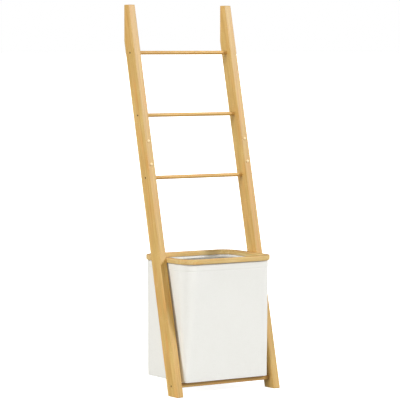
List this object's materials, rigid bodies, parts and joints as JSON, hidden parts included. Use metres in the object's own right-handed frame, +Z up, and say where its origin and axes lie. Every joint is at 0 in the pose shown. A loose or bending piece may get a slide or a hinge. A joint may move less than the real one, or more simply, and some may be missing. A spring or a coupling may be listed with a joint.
{
  "type": "towel rack with laundry basket",
  "caption": "Leaning bamboo towel ladder with round rungs and an open fabric laundry hamper hung from a rounded bamboo hoop.",
  "frame": {"origin": "middle of the footprint on the floor: the bottom centre of the bounding box", "axes": "+X to the right seen from the front, +Y to the wall that the rack leans on, +Z up"},
  "size_m": [0.509, 0.432, 1.6],
  "materials": {
    "bamboo_stile": "clear-lacquered laminated bamboo, satin",
    "bamboo_bar": "clear-lacquered bamboo, satin",
    "bamboo_hoop": "clear-lacquered laminated bamboo, satin",
    "pale_wood": "pale turned wood, satin",
    "screw": "dark bronze-coloured steel",
    "canvas": "off-white woven canvas",
    "tape": "white hook-and-loop tape",
    "board": "white stiffening board"
  },
  "bodies": {
    "frame": {"stile_left": "bamboo_stile", "stile_right": "bamboo_stile", "rung_upper": "bamboo_bar", "rung_middle": "bamboo_bar", "rung_lower": "bamboo_bar", "bottom_rail": "bamboo_bar", "hamper_hoop": "bamboo_hoop", "rung_screw_upper_left": "screw", "rung_screw_upper_right": "screw", "rung_screw_middle_left": "screw", "rung_screw_middle_right": "screw", "rung_screw_lower_left": "screw", "rung_screw_lower_right": "screw", "rail_screw_left": "screw", "rail_screw_right": "screw", "hoop_screw_left_front": "screw", "hoop_screw_left_rear": "screw", "hoop_screw_right_front": "screw", "hoop_screw_right_rear": "screw", "front_cap_left_upper": "pale_wood", "front_cap_left_lower": "pale_wood", "front_cap_right_upper": "pale_wood", "front_cap_right_lower": "pale_wood", "hook_tape": "tape"},
    "bag": {"bag_shell": "canvas", "hem_hoop": "board", "loop_tape": "tape", "bottom_board": "board"}
  },
  "joints": [
    {"name": "bag_out", "type": "slide", "parent": "frame", "child": "bag", "axis": [0, -1, 0], "range_m": [0, 0.36]}
  ]
}
